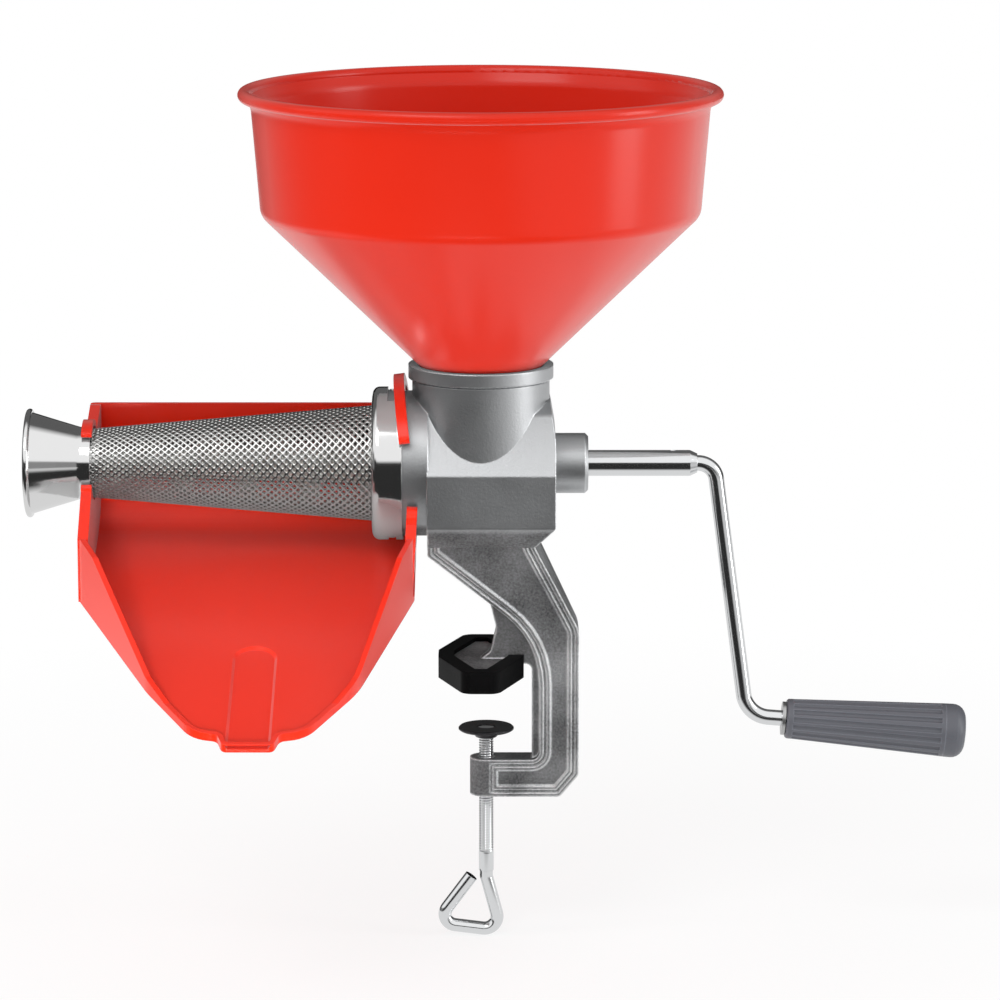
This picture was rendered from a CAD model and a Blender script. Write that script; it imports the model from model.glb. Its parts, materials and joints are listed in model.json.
# %% [markdown]
# # A hand-cranked food mill
# The solids of this mill come from its CAD model, which is loaded here as a fixed frame. This
# notebook gives them their finish, and makes the three things a plain solid leaves out: the
# perforated sheet of the strainer, the screw's thread and the smooth bends of the two rods.

# %% Load the frame
import bpy
import bmesh
import json
import math
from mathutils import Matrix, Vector


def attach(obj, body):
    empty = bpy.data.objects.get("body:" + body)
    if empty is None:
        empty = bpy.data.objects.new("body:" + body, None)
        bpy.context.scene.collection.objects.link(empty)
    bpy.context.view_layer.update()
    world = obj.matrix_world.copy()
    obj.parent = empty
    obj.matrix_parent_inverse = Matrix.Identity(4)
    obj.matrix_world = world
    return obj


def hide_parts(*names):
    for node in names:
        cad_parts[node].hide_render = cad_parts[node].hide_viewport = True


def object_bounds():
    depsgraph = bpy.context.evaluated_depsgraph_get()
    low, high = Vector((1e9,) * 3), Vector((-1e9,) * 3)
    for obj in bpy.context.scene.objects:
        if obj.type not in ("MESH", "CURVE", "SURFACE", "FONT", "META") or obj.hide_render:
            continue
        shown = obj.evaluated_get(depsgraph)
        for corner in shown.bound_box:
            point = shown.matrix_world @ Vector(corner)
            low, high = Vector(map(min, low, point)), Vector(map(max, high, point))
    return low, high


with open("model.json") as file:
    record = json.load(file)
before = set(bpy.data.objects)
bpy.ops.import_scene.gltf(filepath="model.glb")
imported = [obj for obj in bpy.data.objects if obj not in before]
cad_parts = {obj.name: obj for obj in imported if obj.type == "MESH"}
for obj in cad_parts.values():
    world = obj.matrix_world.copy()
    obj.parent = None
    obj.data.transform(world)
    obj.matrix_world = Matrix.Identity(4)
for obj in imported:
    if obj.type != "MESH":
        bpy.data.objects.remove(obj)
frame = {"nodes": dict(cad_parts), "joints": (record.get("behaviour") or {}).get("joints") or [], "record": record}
cad_box = [list(corner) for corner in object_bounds()]
nodes = frame["nodes"]
scene = bpy.context.scene
mm = 0.001
print("nodes:", len(nodes), "box:", [[round(v, 4) for v in c] for c in cad_box])

# %% [markdown]
# ## Camera
# The mill is looked at square on to its shaft, from slightly above, so that the hopper's rim
# shows as a thin ellipse. A long lens keeps the hopper and the clamp at nearly the same scale.

# %% Camera
looking_down = math.radians(11)
across, away, up = 9.03 * mm, 2100.7 * mm, 493.4 * mm
camera_data = bpy.data.cameras.new("camera")
camera_data.lens = 162
camera_data.sensor_width = 36
camera_data.clip_end = 60
camera = bpy.data.objects.new("camera", camera_data)
camera.location = (across, -away, up)
camera.rotation_euler = (math.pi / 2 - looking_down, 0, 0)
scene.collection.objects.link(camera)
scene.camera = camera
scene.view_settings.view_transform = "Standard"
print("camera at", tuple(camera.location))

# %% [markdown]
# ## Node helpers
# Shader and geometry trees are both nodes and links. They can be drawn by hand in the node
# editor, but a script says why each link is there. A few small helpers keep it readable: they
# add a node with its inputs filled in, do one step of arithmetic, shift a value under a mask,
# lay a ramp, take a vector apart and open a named group with its sockets.

# %% Node helpers
def add(tree, kind, inputs=None, **settings):
    """A new node; inputs maps a socket's name or number to a value or to another socket."""
    node = tree.nodes.new(kind)
    for key, value in settings.items():
        setattr(node, key, value)
    for key, value in (inputs or {}).items():
        if isinstance(value, bpy.types.NodeSocket):
            tree.links.new(value, node.inputs[key])
        else:
            node.inputs[key].default_value = value
    return node


def calc(tree, operation, a, b=0.0, c=0.0):
    """One step of arithmetic on numbers or sockets."""
    return add(tree, "ShaderNodeMath", {0: a, 1: b, 2: c}, operation=operation).outputs[0]


def shift(tree, mask, base, step):
    """The base where the mask is 0, and the step on top of it where the mask is 1."""
    return calc(tree, "MULTIPLY_ADD", mask, step, base)


def ramp(tree, value, start, end, low=0.0, high=1.0):
    """low up to the start, high past the end, and an even slope between them."""
    return add(tree, "ShaderNodeMapRange", {"Value": value, "From Min": start, "From Max": end,
                                           "To Min": low, "To Max": high}).outputs[0]


def apart(tree, vector):
    """The X, Y and Z of a vector."""
    return add(tree, "ShaderNodeSeparateXYZ", {0: vector}).outputs


def open_group(kind, name, inputs, outputs):
    """A node group with named sockets, and its input and output nodes."""
    group = bpy.data.node_groups.new(name, kind)
    for in_out, sockets in (("INPUT", inputs), ("OUTPUT", outputs)):
        for label, socket_type, *default in sockets:
            socket = group.interface.new_socket(label, in_out=in_out, socket_type=socket_type)
            if default:
                socket.default_value = default[0]
    return group, group.nodes.new("NodeGroupInput"), group.nodes.new("NodeGroupOutput")


NUMBER, COLOUR, VECTOR = "NodeSocketFloat", "NodeSocketColor", "NodeSocketVector"
GEOMETRY, WHOLE, MATERIAL = "NodeSocketGeometry", "NodeSocketInt", "NodeSocketMaterial"

# %% [markdown]
# ## Shared finishes
# Every surface of the mill was made by a process that leaves marks of its own size: orange
# peel on moulded plastic, sand-like grain on the casting, fine drawn lines on steel. Painted
# textures could show them, but each would need its own unwrapping. Noise in object space needs
# none, so one group gives all the marks. It takes a colour and a grain size and puts out the
# varied colour, the roughness and a height for a bump.

# %% Surface grain group
grain, grain_in, grain_out = open_group("ShaderNodeTree", "surface_grain", [
    ("Color", COLOUR, (0.5, 0.5, 0.5, 1)), ("Grain per metre", NUMBER, 900.0),
    ("Shade", NUMBER, 0.06), ("Roughness", NUMBER, 0.4), ("Roughness spread", NUMBER, 0.1)],
    [("Color", COLOUR), ("Roughness", NUMBER), ("Height", NUMBER)])
CLOUDS_PER_METRE, FINE_SHARE = 38.0, 0.4
place = add(grain, "ShaderNodeTexCoord").outputs["Object"]
fine = add(grain, "ShaderNodeTexNoise", {
    "Vector": place, "Scale": grain_in.outputs["Grain per metre"],
    "Detail": 3.0, "Roughness": 0.6}).outputs["Fac"]
cloud = add(grain, "ShaderNodeTexNoise", {"Vector": place, "Scale": CLOUDS_PER_METRE,
                                         "Detail": 4.0}).outputs["Fac"]
both = calc(grain, "ADD", calc(grain, "MULTIPLY", fine, FINE_SHARE),
            calc(grain, "MULTIPLY", cloud, 1 - FINE_SHARE))
swing = calc(grain, "MULTIPLY", calc(grain, "SUBTRACT", both, 0.5), 2.0)
value = shift(grain, swing, 1.0, grain_in.outputs["Shade"])
tinted = add(grain, "ShaderNodeHueSaturation", {"Value": value,
                                               "Color": grain_in.outputs["Color"]})
rough = shift(grain, swing, grain_in.outputs["Roughness"], grain_in.outputs["Roughness spread"])
grain.links.new(tinted.outputs["Color"], grain_out.inputs["Color"])
grain.links.new(rough, grain_out.inputs["Roughness"])
grain.links.new(fine, grain_out.inputs["Height"])
print("group:", grain.name, "with", len(grain.nodes), "nodes")

# %% [markdown]
# ## Soft edges
# Cast and bent metal has no knife edges. A Bevel modifier would round them in the mesh, but the
# solids have to keep their sizes. The Bevel node rounds only the shading. The difference
# between the rounded and the flat normal also marks where an edge is, which is where handling
# polishes it.

# %% Soft edge group
edges, edges_in, edges_out = open_group("ShaderNodeTree", "soft_edges",
    [("Radius", NUMBER, 0.0008)], [("Normal", VECTOR), ("Edge", NUMBER)])
rounded = add(edges, "ShaderNodeBevel", {"Radius": edges_in.outputs["Radius"]}, samples=6)
flat = add(edges, "ShaderNodeNewGeometry").outputs["Normal"]
along = add(edges, "ShaderNodeVectorMath", {0: rounded.outputs[0], 1: flat},
            operation="DOT_PRODUCT").outputs["Value"]
STILL_FLAT, FULLY_BENT = 0.995, 0.88
bent = ramp(edges, along, STILL_FLAT, FULLY_BENT)
edges.links.new(rounded.outputs[0], edges_out.inputs["Normal"])
edges.links.new(bent, edges_out.inputs["Edge"])
print("group:", edges.name, "with", len(edges.nodes), "nodes")


# %% [markdown]
# ## Two skins on one casting
# The casting's block was milled and tumbled bright. The clamp arm below it was left as it came
# out of the mould: darker, duller and mottled, with only its ribs rubbed bright. Two materials
# would need the solid cut in two. It is one piece of metal, so one material changes over with
# height instead. The first helper marks where the raw skin is, the second lightens a colour and
# the third makes the metal there duller, more uneven and more pitted.

# %% Raw skin helpers
CHANGEOVER = 3 * mm


def below(tree, height):
    """1 under a height in metres and 0 above it."""
    level = apart(tree, add(tree, "ShaderNodeTexCoord").outputs["Object"])[2]
    return ramp(tree, level, height, height - CHANGEOVER)


def lighten(tree, tint, factor):
    """The colour with its brightness times the factor."""
    return add(tree, "ShaderNodeHueSaturation", {"Value": factor, "Color": tint}).outputs[0]


def roughen(tree, shader, marks, relief, raw, skin, shade, bump):
    """Links the metal's dullness, mottle and pits; raw is 1 on the raw skin."""
    deeper = shift(tree, raw, 1.0, skin["pits"] / bump)
    pitted = calc(tree, "MULTIPLY", marks.outputs["Height"], deeper)
    tree.links.new(shift(tree, raw, 1.0, -skin["grit"]), shader.inputs["Metallic"])
    tree.links.new(shift(tree, raw, shade, skin["mottle"]), marks.inputs["Shade"])
    tree.links.new(pitted, relief.inputs["Height"])


# %% [markdown]
# ## Haze on plastic
# Moulded plastic that has been washed many times is finely scuffed. Seen square on it keeps
# its colour, and seen at a slant the scuffs add up to a pale veil. Sheen could give this, but
# it also greys the surface that faces the viewer. Layer Weight's Facing rises only towards a
# slant, and a steep power of it keeps the veil off everything else.

# %% Haze
HAZE_COLOUR = (0.8, 0.5, 0.48, 1)
HAZE_POWER, MOST_HAZE = 4.0, 0.18


def hazed(tree, tint, haze):
    """The colour under its veil; haze is how fast the veil thickens with the slant."""
    slant = add(tree, "ShaderNodeLayerWeight", {"Blend": 0.5}).outputs["Facing"]
    veil = calc(tree, "MULTIPLY", calc(tree, "POWER", slant, HAZE_POWER), haze)
    veil = calc(tree, "MINIMUM", veil, MOST_HAZE)
    return add(tree, "ShaderNodeMixRGB", {0: veil, 1: tint, 2: HAZE_COLOUR}).outputs[0]


# %% [markdown]
# ## Materials
# A finish is a Principled shader fed by the grain group. Numbers that are the same all over
# the surface, such as the index of refraction, are set on the shader itself. Surfaces that
# have visible edges also take their normal from the soft edge group.

# %% Finish maker
SMOOTHER_SHARE = 0.25


def finish(name, colour, roughness, spread=0.05, shade=0.05, grain_size=1.0, bump=0.02,
           edge=0.0, edge_gain=0.0, raw_skin=None, haze=0.0, mirrored=None, **plain):
    """A material; grain_size, bump and edge are in millimetres, plain holds fixed shader values.

    edge_gain is how much brighter and smoother handling made the edges.
    raw_skin is how a casting departs from all this below a height in metres: its colour times
    the tone, rougher and duller by the grit, more uneven by the mottle, more relief by the pits
    and wider edges by softer, both in millimetres, and ribs brighter by the wear.
    mirrored is the quieter colour that polished metal nearby shows of this surface.
    """
    material = bpy.data.materials.new(name)
    material.use_nodes = True
    tree = material.node_tree
    tree.nodes.clear()
    fixed = {label.replace("_", " "): value for label, value in plain.items()}
    shader = add(tree, "ShaderNodeBsdfPrincipled", fixed)
    add(tree, "ShaderNodeOutputMaterial", {"Surface": shader.outputs[0]})
    marks = add(tree, "ShaderNodeGroup", {
        "Color": (*colour, 1), "Grain per metre": 1 / (grain_size * mm), "Shade": shade,
        "Roughness": roughness, "Roughness spread": spread}, node_tree=grain)
    relief = add(tree, "ShaderNodeBump", {"Height": marks.outputs["Height"], "Strength": 1.0,
                                         "Distance": bump * mm})
    tint, rough = marks.outputs["Color"], marks.outputs["Roughness"]
    edge_r, gain = edge * mm, edge_gain
    if raw_skin:
        raw = below(tree, raw_skin["below"])
        roughen(tree, shader, marks, relief, raw, raw_skin, shade, bump)
        tint = lighten(tree, tint, shift(tree, raw, 1.0, raw_skin["tone"] - 1))
        rough = shift(tree, raw, rough, raw_skin["grit"])
        edge_r = shift(tree, raw, edge_r, raw_skin["softer"] * mm)
        gain = shift(tree, raw, gain, raw_skin["wear"])
    if haze:
        tint = hazed(tree, tint, haze)
    if edge:
        soft = add(tree, "ShaderNodeGroup", {"Radius": edge_r}, node_tree=edges)
        tree.links.new(soft.outputs["Normal"], relief.inputs["Normal"])
    if edge_gain:
        worn = soft.outputs["Edge"]
        tint = lighten(tree, tint, shift(tree, worn, 1.0, gain))
        rough = shift(tree, worn, rough, -edge_gain * SMOOTHER_SHARE)
    if mirrored:
        ray = add(tree, "ShaderNodeLightPath").outputs["Is Glossy Ray"]
        tint = add(tree, "ShaderNodeMixRGB", {0: ray, 1: tint, 2: (*mirrored, 1)}).outputs[0]
    tree.links.new(tint, shader.inputs["Base Color"])
    tree.links.new(rough, shader.inputs["Roughness"])
    tree.links.new(relief.outputs[0], shader.inputs["Normal"])
    material.diffuse_color = (*colour, 1)
    return material


# %% [markdown]
# ## The mill's finishes
# The hopper and the chute are glossy moulded plastic, the body is cast aluminium and the jaw
# wears a rubber boot. The strainer is brushed sheet, its ring and bell are polished steel, and
# the rods are plated. The grip, the bearings and the small hidden parts have a finish each. They
# could share one metal and one plastic, but under the same lamps it is the small differences in
# roughness that tell the metals apart. Colours are linear values, as Blender works with them.

# %% The mill's finishes
finishes = {
    "red_plastic": finish("red_plastic", (0.78, 0.020, 0.003), 0.24, spread=0.03, shade=0.02,
                          grain_size=1.4, bump=0.004, edge=0.5, haze=0.85,
                          mirrored=(0.5, 0.5, 0.5), IOR=1.42),
    "cast_aluminium": finish("cast_aluminium", (0.56, 0.57, 0.58), 0.44, spread=0.14, shade=0.12,
                             grain_size=1.1, bump=0.09, edge=0.9, edge_gain=0.7,
                             raw_skin={"below": 78 * mm, "tone": 0.44, "grit": 0.22, "wear": 2.6,
                                       "mottle": 1.9, "pits": 0.25, "softer": 0.8}),
    "rubber": finish("rubber", (0.003, 0.003, 0.0032), 0.45, spread=0.1, shade=0.15,
                     grain_size=0.8, bump=0.03, edge=0.8, Specular_IOR_Level=0.05),
    "strainer_steel": finish("strainer_steel", (0.55, 0.55, 0.54), 0.18, spread=0.05, shade=0.04,
                             grain_size=0.5, bump=0.004, Metallic=1.0),
    "polished_steel": finish("polished_steel", (0.8, 0.8, 0.8), 0.09, spread=0.04, shade=0.03,
                             grain_size=0.6, bump=0.0015, edge=0.4, Metallic=1.0),
    "plated_rod": finish("plated_rod", (0.8, 0.81, 0.82), 0.12, spread=0.05, shade=0.03,
                         grain_size=0.7, bump=0.002, edge=0.3, Metallic=1.0),
    "grip_plastic": finish("grip_plastic", (0.12, 0.126, 0.145), 0.38, spread=0.06, shade=0.06,
                           grain_size=0.6, bump=0.01, edge=0.7, edge_gain=1.0, IOR=1.48),
    "white_plastic": finish("white_plastic", (0.8, 0.8, 0.76), 0.38, spread=0.05, shade=0.03,
                            grain_size=1.2, bump=0.006, edge=0.4, IOR=1.5),
    "white_rubber": finish("white_rubber", (0.72, 0.72, 0.69), 0.55, shade=0.05,
                           grain_size=0.8, bump=0.01, IOR=1.5),
    "small_steel": finish("small_steel", (0.5, 0.5, 0.5), 0.3, spread=0.08, shade=0.06,
                          grain_size=0.5, bump=0.004, edge=0.2, Metallic=1.0),
    "plate_steel": finish("plate_steel", (0.018, 0.018, 0.02), 0.32, spread=0.08, shade=0.2,
                          grain_size=0.9, bump=0.012, edge=0.4, IOR=1.5),
}
slot_of = {part["node"]: part["material_slot"] for part in frame["record"]["subparts"]}
for name, node in nodes.items():
    node.data.materials.clear()
    node.data.materials.append(finishes[slot_of[name]])
print("finishes:", ", ".join(finishes))

# %% [markdown]
# ## Sizes shared with the CAD model
# A piece that takes a solid's place keeps to its sizes. Whatever turns has its axis in the
# frame's joints, so the shaft's height, the screw's place and the grip's line are read there.
# The other sizes are written once here, in metres. Points closer together than the weld are
# one point.

# %% Shared sizes
joints = {joint["name"]: joint for joint in frame["joints"]}
axis_z = joints["crank_turn"]["pos_m"][2]
screw_x = joints["screw_turn"]["pos_m"][0]
sheet_t = 1.0 * mm
cone_start, cone_end, band_end = -51.4 * mm, -184.4 * mm, -190.4 * mm
cone_big_r, cone_small_r = 26.5 * mm, 15.5 * mm
screw_r, screw_top, screw_foot = 3.6 * mm, -30.8 * mm, -96.8 * mm
thread_pitch = 1.25 * mm
rod_r = 3.75 * mm
weld = 0.01 * mm
print("shaft at z", axis_z, "screw at x", screw_x)
print("cone:", round((cone_start - cone_end) / mm), "mm long")


# %% [markdown]
# ## From tree to piece
# A finished piece is a plain mesh at the origin that rides on one body of the mill. The first
# helper makes an object, the second runs a geometry tree and keeps only its mesh, and the
# third puts a piece on its body, with its finish and the solids it stands for.

# %% Helpers for finished pieces
def mesh_object(name, mesh):
    obj = bpy.data.objects.new(name, mesh)
    scene.collection.objects.link(obj)
    return obj


def settle(obj, tree, values):
    """Runs a geometry tree on obj and returns the result as a plain mesh object."""
    modifier = obj.modifiers.new(tree.name, "NODES")
    modifier.node_group = tree
    for item in tree.interface.items_tree:
        if item.item_type == "SOCKET" and item.in_out == "INPUT" and item.name in values:
            modifier[item.identifier] = values[item.name]
    graph = bpy.context.evaluated_depsgraph_get()
    mesh = bpy.data.meshes.new_from_object(obj.evaluated_get(graph), depsgraph=graph)
    obj.modifiers.clear()
    name = obj.name
    bpy.data.objects.remove(obj)
    mesh.name = name
    result = mesh_object(name, mesh)
    print(name, "has", sum(len(p.vertices) - 2 for p in mesh.polygons), "triangles")
    return result


def dress(obj, body, slot, *replaced):
    obj.data.materials.clear()
    obj.data.materials.append(finishes[slot])
    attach(obj, body)
    if replaced:
        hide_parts(*replaced)


# %% [markdown]
# ## The strainer's perforated sheet
# The cone is rolled from sheet steel with round holes in staggered rows. Cutting three
# thousand holes with booleans is slow and leaves long thin triangles. Instead the sheet is
# laid from diamond tiles, each a ring of eight faces round its own hole. The tiles meet edge
# to edge in the flat, and one Set Position then rolls them into a cone. The roll keeps the
# rows closed because a whole number of them goes round.

# %% One tile
HOLE_SIDES, ROWS, HOLES_PER_ROW = 8, 78, 37
sheet_tree, sheet_in, sheet_out = open_group("GeometryNodeTree", "perforated_cone", [
    ("Geometry", GEOMETRY), ("Start", NUMBER, cone_start),
    ("Length", NUMBER, cone_start - cone_end),
    ("Start radius", NUMBER, cone_big_r), ("End radius", NUMBER, cone_small_r),
    ("Axis height", NUMBER, axis_z), ("Rows", WHOLE, ROWS),
    ("Holes per row", WHOLE, HOLES_PER_ROW), ("Hole radius", NUMBER, 0.8 * mm),
    ("Thickness", NUMBER, sheet_t), ("Finish", MATERIAL)], [("Geometry", GEOMETRY)])
t, knob = sheet_tree, sheet_in.outputs
# half diagonals of a tile, along the cone and round it
half_along = calc(t, "DIVIDE", knob["Length"], calc(t, "MULTIPLY", knob["Holes per row"], 2.0))
mean_r = calc(t, "MULTIPLY", calc(t, "ADD", knob["Start radius"], knob["End radius"]), 0.5)
row_angle = calc(t, "DIVIDE", 2 * math.pi, knob["Rows"])
half_round = calc(t, "MULTIPLY", mean_r, row_angle)
ring = add(t, "GeometryNodeMeshCircle", {"Vertices": HOLE_SIDES, "Radius": 1.0}, fill_type="NONE")
grown = add(t, "GeometryNodeExtrudeMesh", {"Mesh": ring.outputs[0], "Offset Scale": 0.0},
            mode="EDGES")
x, y, _ = apart(t, add(t, "GeometryNodeInputPosition").outputs[0])
span = calc(t, "ADD", calc(t, "ABSOLUTE", x), calc(t, "ABSOLUTE", y))
corner = add(t, "ShaderNodeCombineXYZ", {0: calc(t, "DIVIDE", x, span),
                                        1: calc(t, "DIVIDE", y, span)})
lip = add(t, "ShaderNodeCombineXYZ", {
    0: calc(t, "MULTIPLY", x, calc(t, "DIVIDE", knob["Hole radius"], half_along)),
    1: calc(t, "MULTIPLY", y, calc(t, "DIVIDE", knob["Hole radius"], half_round))})
outer = grown.outputs["Top"]
shaped = add(t, "GeometryNodeSetPosition", {"Geometry": grown.outputs["Mesh"], "Selection": outer,
                                           "Position": corner.outputs[0]})
inner = add(t, "FunctionNodeBooleanMath", {0: outer}, operation="NOT").outputs[0]
tile = add(t, "GeometryNodeSetPosition", {"Geometry": shaped.outputs[0], "Selection": inner,
                                         "Position": lip.outputs[0]}).outputs[0]

print("tile:", HOLE_SIDES, "faces round one hole")

# %% Two interleaved grids of tiles
along_n, round_n = knob["Holes per row"], calc(t, "DIVIDE", knob["Rows"], 2.0)
grid = add(t, "GeometryNodeMeshGrid", {
    "Size X": calc(t, "MULTIPLY", calc(t, "SUBTRACT", along_n, 1.0), 2.0),
    "Size Y": calc(t, "MULTIPLY", calc(t, "SUBTRACT", round_n, 1.0), 2.0),
    "Vertices X": along_n, "Vertices Y": round_n}).outputs[0]
corner_shift = add(t, "ShaderNodeCombineXYZ", {0: along_n, 1: round_n}).outputs[0]
first = add(t, "GeometryNodeTransform", {"Geometry": grid, "Translation": corner_shift}).outputs[0]
second = add(t, "GeometryNodeTransform", {"Geometry": first, "Translation": (1, 1, 0)}).outputs[0]
points = add(t, "GeometryNodeJoinGeometry")
for source in (first, second):
    t.links.new(source, points.inputs[0])
laid = add(t, "GeometryNodeInstanceOnPoints", {"Points": points.outputs[0], "Instance": tile})
sheet = add(t, "GeometryNodeRealizeInstances", {0: laid.outputs[0]}).outputs[0]

print("grids:", ROWS, "rows of", HOLES_PER_ROW, "holes")

# %% Roll the sheet and give it its thickness
x, y, _ = apart(t, add(t, "GeometryNodeInputPosition").outputs[0])
share = calc(t, "DIVIDE", calc(t, "MULTIPLY", x, half_along), knob["Length"])
taper = calc(t, "SUBTRACT", knob["End radius"], knob["Start radius"])
radius = calc(t, "MULTIPLY_ADD", share, taper, knob["Start radius"])
turn = calc(t, "MULTIPLY", y, row_angle)
rolled = add(t, "ShaderNodeCombineXYZ", {
    0: calc(t, "MULTIPLY_ADD", x, calc(t, "MULTIPLY", half_along, -1.0), knob["Start"]),
    1: calc(t, "MULTIPLY", radius, calc(t, "SINE", turn)),
    2: calc(t, "MULTIPLY_ADD", radius, calc(t, "COSINE", turn), knob["Axis height"])})
wrapped = add(t, "GeometryNodeSetPosition", {"Geometry": sheet, "Position": rolled.outputs[0]})
joined = add(t, "GeometryNodeMergeByDistance", {"Geometry": wrapped.outputs[0],
                                               "Distance": 2 * weld}).outputs[0]
inward = add(t, "ShaderNodeVectorMath", {0: add(t, "GeometryNodeInputNormal").outputs[0],
             "Scale": calc(t, "MULTIPLY", knob["Thickness"], -1.0)}, operation="SCALE").outputs[0]
thick = add(t, "GeometryNodeExtrudeMesh", {"Mesh": joined, "Offset": inward,
                                          "Individual": False}, mode="FACES").outputs["Mesh"]
inside = add(t, "GeometryNodeFlipFaces", {0: thick}).outputs[0]
closed = add(t, "GeometryNodeJoinGeometry")
for source in (inside, joined):
    t.links.new(source, closed.inputs[0])
whole = add(t, "GeometryNodeMergeByDistance", {"Geometry": closed.outputs[0],
                                              "Distance": weld}).outputs[0]
solid = add(t, "GeometryNodeRealizeInstances", {0: whole}).outputs[0]
coated = add(t, "GeometryNodeSetMaterial", {"Geometry": solid, "Material": knob["Finish"]})
t.links.new(coated.outputs[0], sheet_out.inputs[0])
print("tree:", sheet_tree.name, "with", len(sheet_tree.nodes), "nodes")

# %% Make the strainer's sheet
tucked_in = 1.6 * mm
strainer = settle(mesh_object("strainer_sheet", bpy.data.meshes.new("strainer_sheet")),
                  sheet_tree, {"Start": cone_start + tucked_in, "Length": cone_start - cone_end,
                               "Finish": finishes["strainer_steel"]})
dress(strainer, "strainer", "strainer_steel", "strainer_cone")

# %% [markdown]
# ## The sheet's plain ends
# The tiles end in a zigzag. On the real cone the sheet's ends are plain: one is welded into
# the ring and the other carries the bell. Two plain cuffs cover the zigzags. A Screw modifier
# could spin them, but its last row only lies on its first. A short loop joins the two rows, so
# the cuff is closed. Edges sharper than the crease angle stay crisp.

# %% Rings of revolution
CREASE = math.radians(30)


def spun(name, profile, steps=72):
    """A closed ring of revolution round the shaft's axis from points of (x, radius)."""
    n = len(profile)
    verts = [(x, r * math.sin(a), axis_z + r * math.cos(a))
             for a in (2 * math.pi * i / steps for i in range(steps)) for x, r in profile]
    faces = [(n * i + k, n * i + (k + 1) % n, n * ((i + 1) % steps) + (k + 1) % n,
              n * ((i + 1) % steps) + k) for i in range(steps) for k in range(n)]
    mesh = bpy.data.meshes.new(name)
    mesh.from_pydata(verts, [], faces)
    shell = bmesh.new()
    shell.from_mesh(mesh)
    bmesh.ops.recalc_face_normals(shell, faces=shell.faces)
    for face in shell.faces:
        face.smooth = True
    for rim in shell.edges:
        rim.smooth = rim.calc_face_angle(0) < CREASE
    shell.to_mesh(mesh)
    shell.free()
    return mesh_object(name, mesh)


# %% The two cuffs
def cone_radius(x):
    return cone_big_r + (cone_small_r - cone_big_r) * (cone_start - x) / (cone_start - cone_end)


lift = 0.12 * mm
tail = cone_end + 4.4 * mm
tail_cuff = spun("strainer_tail_cuff", [
    (tail, cone_radius(tail) + lift), (cone_end, cone_small_r + lift),
    (band_end, cone_small_r + lift), (band_end, cone_small_r - sheet_t),
    (cone_end, cone_small_r - sheet_t - lift), (tail, cone_radius(tail) - sheet_t - lift)])
head, mouth = cone_start - 1.2 * mm, cone_start + 1 * mm
head_cuff = spun("strainer_head_cuff", [
    (mouth, cone_big_r), (cone_start, cone_big_r), (head, cone_radius(head) + lift),
    (head, cone_radius(head) - sheet_t - lift), (mouth, cone_big_r - sheet_t - lift)])
for cuff in (tail_cuff, head_cuff):
    dress(cuff, "strainer", "strainer_steel")
print("cuffs:", tail_cuff.name, head_cuff.name)

# %% [markdown]
# ## Bent rods
# The crank and the screw's eye are round bar, bent cold. Cylinders and elbows would show a seam
# at every bend, and a Bézier curve would wander off the bend's true radius. So one geometry
# tree serves both: it rounds each corner of a path to that corner's own bend radius, then
# sweeps a circle along it. The path is a curve object whose points carry the bend radius as
# their radius value.

# %% Rod tree
rod_tree, rod_in, rod_out = open_group("GeometryNodeTree", "bent_bar", [
    ("Geometry", GEOMETRY), ("Bar radius", NUMBER, rod_r), ("Sides", WHOLE, 32),
    ("Steps per bend", WHOLE, 12), ("Finish", MATERIAL)], [("Geometry", GEOMETRY)])
t, knob = rod_tree, rod_in.outputs
bend = add(t, "GeometryNodeInputRadius").outputs[0]
smooth_path = add(t, "GeometryNodeFilletCurve", mode="POLY")
t.links.new(knob["Geometry"], smooth_path.inputs["Curve"])
t.links.new(bend, smooth_path.inputs["Radius"])
t.links.new(knob["Steps per bend"], smooth_path.inputs["Count"])
even = add(t, "GeometryNodeSetCurveRadius", {"Curve": smooth_path.outputs[0], "Radius": 1.0})
circle = add(t, "GeometryNodeCurvePrimitiveCircle", {"Resolution": knob["Sides"],
                                                    "Radius": knob["Bar radius"]})
swept = add(t, "GeometryNodeCurveToMesh", {
    "Curve": even.outputs[0], "Profile Curve": circle.outputs[0], "Fill Caps": True}).outputs[0]
solid = add(t, "GeometryNodeRealizeInstances", {0: swept}).outputs[0]
coated = add(t, "GeometryNodeSetMaterial", {"Geometry": solid, "Material": knob["Finish"]})
t.links.new(coated.outputs[0], rod_out.inputs[0])
print("tree:", rod_tree.name, "with", len(rod_tree.nodes), "nodes")


# %% A bent bar
def bent_bar(name, corners, radius):
    """A bar through corners given as (x, z, bend radius) in the middle plane."""
    curve = bpy.data.curves.new(name, "CURVE")
    curve.dimensions = "3D"
    line = curve.splines.new("POLY")
    line.points.add(len(corners) - 1)
    for point, (x, z, bend_r) in zip(line.points, corners):
        point.co = (x, 0, z, 1)
        point.radius = bend_r
    path = mesh_object(name, curve)
    bar = settle(path, rod_tree, {"Bar radius": radius, "Finish": finishes["plated_rod"]})
    shell = bmesh.new()
    shell.from_mesh(bar.data)
    bmesh.ops.remove_doubles(shell, verts=shell.verts, dist=weld)
    bmesh.ops.recalc_face_normals(shell, faces=shell.faces)
    for face in shell.faces:
        face.smooth = len(face.verts) == 4
    shell.to_mesh(bar.data)
    shell.free()
    return bar


# %% [markdown]
# ## The crank
# The crank leaves the shaft, drops beside the mill and turns outwards again into the grip. Its
# last straight lies on the line that the grip spins about, so its place and its tilt come from
# that joint. A typed angle could drift from it, and the grip would then wobble on its rod.

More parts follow.
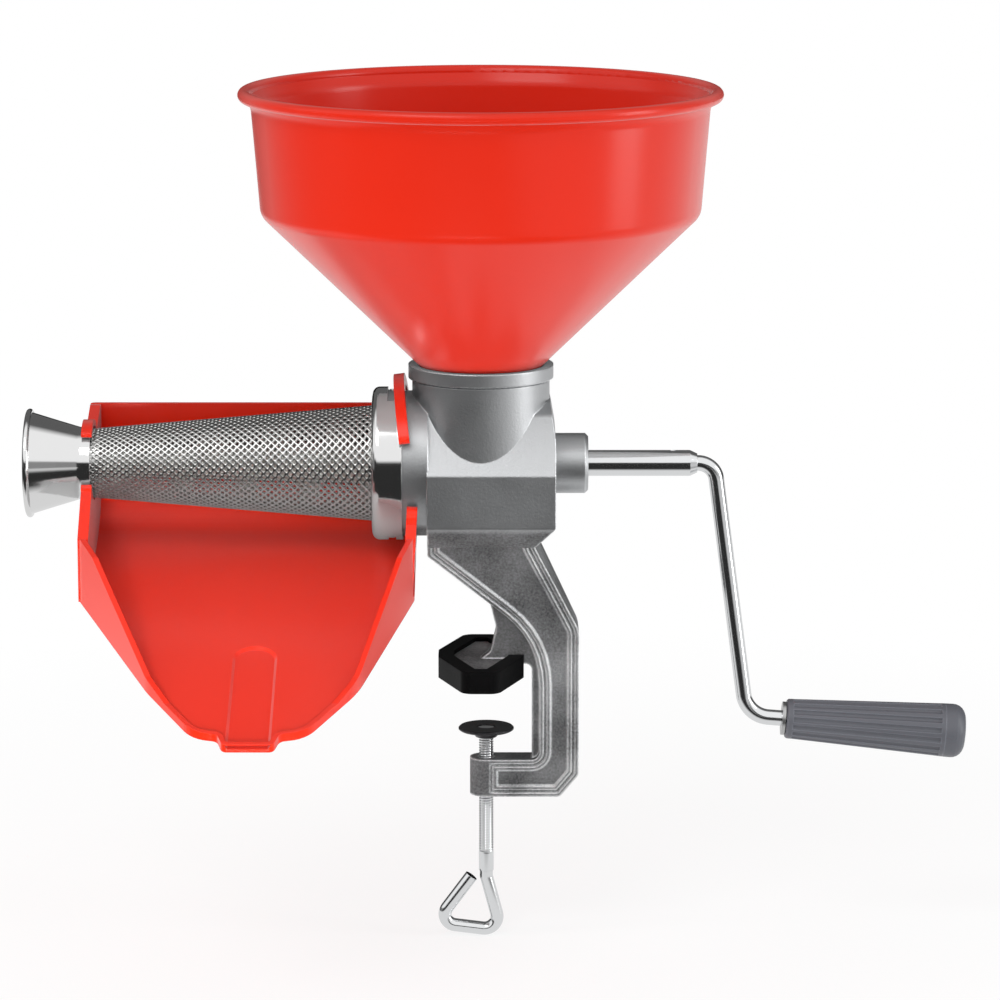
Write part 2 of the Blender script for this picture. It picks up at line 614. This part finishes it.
# %% Crank rod
foot_x, _, foot_z = joints["grip_spin"]["pos_m"]
way_x, _, way_z = joints["grip_spin"]["axis"]
bar_start, elbow_x, in_grip = 102.4 * mm, 110.8 * mm, 18.7 * mm
upper_bend, lower_bend = 8.9 * mm, 13 * mm
crank = bent_bar("crank_bar", [
    (bar_start, axis_z, 0), (elbow_x, axis_z, upper_bend), (foot_x, foot_z, lower_bend),
    (foot_x + in_grip * way_x, foot_z + in_grip * way_z, 0)], rod_r)
dress(crank, "drive", "plated_rod", "crank_rod")

# %% [markdown]
# ## The clamp screw
# The straight part of the screw has a rolled thread, which runs out above the eye. A Screw
# modifier could make the ridge, but not let it fade. A thread is a rule, though: the radius at
# any point depends only on its height and its angle. So a flat grid is wrapped round the
# screw's axis, and each point's radius follows the ridge that climbs one pitch per turn.

# %% Thread tree
thread_tree, thread_in, thread_out = open_group("GeometryNodeTree", "rolled_thread", [
    ("Geometry", GEOMETRY), ("Axis", NUMBER, screw_x), ("Foot", NUMBER, screw_foot),
    ("Length", NUMBER, screw_top - screw_foot), ("Radius", NUMBER, screw_r),
    ("Pitch", NUMBER, thread_pitch), ("Depth", NUMBER, 0.45 * mm),
    ("Plain length", NUMBER, 9 * mm), ("Run-out", NUMBER, 3 * mm), ("Steps round", WHOLE, 28),
    ("Steps per turn", WHOLE, 6), ("Finish", MATERIAL)], [("Geometry", GEOMETRY)])
t, knob = thread_tree, thread_in.outputs
turns = calc(t, "DIVIDE", knob["Length"], knob["Pitch"])
rows = calc(t, "MULTIPLY", turns, knob["Steps per turn"])
grid = add(t, "GeometryNodeMeshGrid", {
    "Size X": 1.0, "Size Y": 1.0, "Vertices X": calc(t, "ADD", knob["Steps round"], 1.0),
    "Vertices Y": calc(t, "ADD", rows, 1.0)}).outputs[0]
x, y, _ = apart(t, add(t, "GeometryNodeInputPosition").outputs[0])
around = calc(t, "ADD", x, 0.5)
climb = calc(t, "MULTIPLY", calc(t, "ADD", y, 0.5), knob["Length"])
turned = calc(t, "SUBTRACT", calc(t, "DIVIDE", climb, knob["Pitch"]), around)
phase = calc(t, "FRACT", calc(t, "ADD", turned, 1.0))
ridge = calc(t, "ABSOLUTE", calc(t, "MULTIPLY_ADD", phase, 2.0, -1.0))
fade = ramp(t, climb, knob["Plain length"],
            calc(t, "ADD", knob["Plain length"], knob["Run-out"]))
cut = calc(t, "MULTIPLY", calc(t, "MULTIPLY", knob["Depth"], fade),
           calc(t, "SUBTRACT", 1.0, ridge))
radius = calc(t, "SUBTRACT", knob["Radius"], cut)
turn = calc(t, "MULTIPLY", around, 2 * math.pi)
wound = add(t, "ShaderNodeCombineXYZ", {
    0: calc(t, "MULTIPLY_ADD", radius, calc(t, "COSINE", turn), knob["Axis"]),
    1: calc(t, "MULTIPLY", radius, calc(t, "SINE", turn)),
    2: calc(t, "ADD", knob["Foot"], climb)})
tube = add(t, "GeometryNodeSetPosition", {"Geometry": grid, "Position": wound.outputs[0]})
sewn = add(t, "GeometryNodeMergeByDistance", {"Geometry": tube.outputs[0], "Distance": weld})
solid = add(t, "GeometryNodeRealizeInstances", {0: sewn.outputs[0]}).outputs[0]
coated = add(t, "GeometryNodeSetMaterial", {"Geometry": solid, "Material": knob["Finish"]})
t.links.new(coated.outputs[0], thread_out.inputs[0])
print("tree:", thread_tree.name, "with", len(thread_tree.nodes), "nodes")

# %% [markdown]
# The screw's upper end is turned down to a pin with a flat head, on which the pressure plate
# swivels. Two cylinders are enough for them, because the plate hides almost all of both.

# %% Screw and swivel head
swivel_pin = (screw_top - 1 * mm, -26.4 * mm, 2.7 * mm)
swivel_head = (-27 * mm, -25.9 * mm, 3.9 * mm)
screw = settle(mesh_object("screw_thread", bpy.data.meshes.new("screw_thread")), thread_tree,
               {"Finish": finishes["plated_rod"]})
shell = bmesh.new()
shell.from_mesh(screw.data)
bmesh.ops.holes_fill(shell, edges=[e for e in shell.edges if e.is_boundary], sides=0)
for low, high, r in (swivel_pin, swivel_head):
    made = bmesh.ops.create_cone(shell, cap_ends=True, segments=40, radius1=r, radius2=r,
                                 depth=high - low)["verts"]
    bmesh.ops.translate(shell, verts=made, vec=(screw_x, 0, (low + high) / 2))
bmesh.ops.recalc_face_normals(shell, faces=shell.faces)
for face in shell.faces:
    face.smooth = len(face.verts) <= 4
shell.to_mesh(screw.data)
shell.free()
dress(screw, "screw", "plated_rod", "clamp_screw")

# %% [markdown]
# The screw's lower end is bent round into an eye, which is the handle that fingers turn. It is
# made by the crank's tree. Its corners are shares of the eye's height and width, so the eye
# keeps its lopsided shape at any size.

# %% The screw's eye
eye_h, eye_w, eye_bend, eye_r = 30.5 * mm, 31.8 * mm, 6.1 * mm, 3.2 * mm
eye_right = screw_x + 0.23 * eye_w
eye_left = eye_right - eye_w
eye_top = screw_foot - 0.1 * eye_h
eye = bent_bar("screw_eye", [
    (screw_x, screw_foot + 2 * mm, 0), (screw_x, eye_top, eye_bend),
    (eye_right, screw_foot - eye_h, eye_bend),
    (eye_left, screw_foot - 0.87 * eye_h, 0.9 * eye_bend),
    (eye_left + 0.545 * eye_w, eye_top, 0)], eye_r)
dress(eye, "screw", "plated_rod")

# %% [markdown]
# ## Room and light
# Bright metal shows the room rather than its own colour. So the room it mirrors is drawn apart
# from the one that lights the mill: white overhead, dark at eye level in front and behind, and
# half bright at the sides, as a studio is beyond its lamps. The camera itself sees plain white.
#
# The floor and the sky answer a mirrored ray and a lighting ray differently. Cycles would mix
# the two up if it sampled them as lamps, so their direct sampling is turned off.

# %% Helpers for the room
WHITE = (1, 1, 1, 1)
DARK = 0.03


def matt(tree, level):
    """A dull grey surface."""
    return add(tree, "ShaderNodeBsdfDiffuse", {"Color": (level, level, level, 1)}).outputs[0]


def glow(tree, strength):
    """A surface that shines white by itself."""
    return add(tree, "ShaderNodeEmission", {"Color": WHITE, "Strength": strength}).outputs[0]


def mix(tree, share, first, second):
    """The first shader where share is 0 and the second where it is 1."""
    return add(tree, "ShaderNodeMixShader", {0: share, 1: first, 2: second}).outputs[0]


# %% [markdown]
# ## Floor
# A shadow catcher would give a clean white ground, but then the metal would have no floor to
# mirror. So the floor is a real disc whose material answers each kind of ray. The camera sees
# pale paper with a faint shadow, which fades into plain white further out. Polished metal sees
# it dark in front and far to the left, and bright to the right. All other light finds it white.

# %% Floor material
def mirrored_floor(tree, spot):
    """How bright polished metal shows the floor at a spot."""
    x, y, _ = apart(tree, spot)
    front = ramp(tree, y, -0.24, -0.12, DARK, 0.8)
    left = ramp(tree, x, -0.9, -0.6, 0.05, 0.8)
    right = ramp(tree, x, 0.25, 0.6, DARK, 0.65)
    return calc(tree, "MAXIMUM", calc(tree, "MINIMUM", front, left), right)


def floor_material():
    material = bpy.data.materials.new("floor")
    material.use_nodes = True
    material.cycles.emission_sampling = "NONE"
    tree = material.node_tree
    tree.nodes.clear()
    ray = add(tree, "ShaderNodeLightPath").outputs
    spot = add(tree, "ShaderNodeTexCoord").outputs["Object"]
    paper = add(tree, "ShaderNodeAddShader", {0: matt(tree, 0.3), 1: glow(tree, 0.74)}).outputs[0]
    away = add(tree, "ShaderNodeVectorMath", {0: spot}, operation="LENGTH").outputs["Value"]
    seen = mix(tree, ramp(tree, away, 0.3, 0.7), paper, glow(tree, 1.0))
    mirrored = glow(tree, mirrored_floor(tree, spot))
    unseen = mix(tree, ray["Is Glossy Ray"], matt(tree, 0.95), mirrored)
    both = mix(tree, ray["Is Camera Ray"], unseen, seen)
    add(tree, "ShaderNodeOutputMaterial", {"Surface": both})
    return material


# %% Floor disc
air_below = 0.4 * mm
floor_z = cad_box[0][2] - air_below
disc = bmesh.new()
bmesh.ops.create_circle(disc, cap_ends=True, segments=96, radius=4)
bmesh.ops.translate(disc, verts=disc.verts, vec=(0, 0, floor_z))
floor_mesh = bpy.data.meshes.new("floor")
disc.to_mesh(floor_mesh)
disc.free()
floor = mesh_object("floor", floor_mesh)
floor.data.materials.append(floor_material())
print("floor at", round(floor_z, 4))

# %% [markdown]
# ## Sky
# A wrapped-round panorama of a studio would do, but it is a large file whose bands can't be
# moved. A few ramps over the direction of view draw such bands, each with its own place.

# %% Sky
world = bpy.data.worlds.new("room")
scene.world = world
world.use_nodes = True
world.cycles.sampling_method = "NONE"
sky = world.node_tree
sky.nodes.clear()
ray = add(sky, "ShaderNodeLightPath").outputs
x, y, z = apart(sky, add(sky, "ShaderNodeTexCoord").outputs["Generated"])
overhead = ramp(sky, z, 0.16, 0.24)
right = ramp(sky, x, 0.3, 0.7, DARK, 0.6)
left = ramp(sky, x, -0.75, -0.95, DARK, 0.2)
bright = calc(sky, "MAXIMUM", overhead, calc(sky, "MAXIMUM", left, right))
dim_behind = ramp(sky, y, 0.05, 0.35, 1.0, 0.12)
lit = calc(sky, "MULTIPLY", bright, dim_behind)
tone = add(sky, "ShaderNodeCombineXYZ", {0: lit, 1: lit, 2: lit}).outputs[0]
mirrored = add(sky, "ShaderNodeBackground", {"Color": tone, "Strength": 1.0}).outputs[0]
even = add(sky, "ShaderNodeBackground", {"Color": WHITE, "Strength": 0.6}).outputs[0]
white = add(sky, "ShaderNodeBackground", {"Color": WHITE, "Strength": 1.0}).outputs[0]
unseen = mix(sky, ray["Is Glossy Ray"], even, mirrored)
plain = calc(sky, "MAXIMUM", ray["Is Camera Ray"], ray["Is Transmission Ray"])
add(sky, "ShaderNodeOutputWorld", {"Surface": mix(sky, plain, unseen, white)})
print("sky:", len(sky.nodes), "nodes")

# %% [markdown]
# ## Lamps
# Two lamps are large and show in the metal, as softboxes do. The others only lift what those
# leave dark: the left side, the front, the funnel's underside and the chute. They are kept out
# of every reflection, because a small bright patch in the metal would give them away. The last
# two shine in a narrow cone, so that the red plastic doesn't mirror them either.

# %% Lamp helpers
def softbox(name, place, aim, width, height, watts):
    data = bpy.data.lights.new(name, "AREA")
    data.shape, data.size, data.size_y, data.energy = "RECTANGLE", width, height, watts
    lamp = bpy.data.objects.new(name, data)
    lamp.location = place
    lamp.rotation_euler = (Vector(aim) - Vector(place)).to_track_quat("-Z", "Y").to_euler()
    scene.collection.objects.link(lamp)
    return lamp


def hide(lamp, spread=180):
    """Lights the mill but shows neither itself nor its mirror image; spread is in degrees."""
    lamp.visible_camera = lamp.visible_glossy = False
    lamp.data.spread = math.radians(spread)


# %% Lamps
softbox("key", place=(-0.9, -1.5, 2.0), aim=(0, 0, 0.1), width=1.4, height=1.0, watts=11.5)
softbox("right", place=(1.45, -0.35, 0.35), aim=(0, 0, 0.12), width=0.45, height=1.1, watts=6)
left_side = softbox("left", place=(-1.5, -0.42, 0.35), aim=(0, 0, 0.15), width=0.3, height=0.9,
                    watts=4.2)
front = softbox("fill", place=(0.1, -2.1, 0.7), aim=(0, 0, 0.1), width=1.6, height=1.0,
                watts=2.5)
funnel = softbox("funnel", place=(-0.12, -0.65, -0.1), aim=(-0.05, 0, 0.12), width=0.4,
                 height=0.08, watts=0.2)
scoop = softbox("scoop", place=(-0.17, -0.95, 0.02), aim=(-0.14, 0, 0.02), width=0.25,
                height=0.1, watts=0.1)
hide(left_side)
hide(front)
hide(funnel, spread=60)
hide(scoop, spread=20)
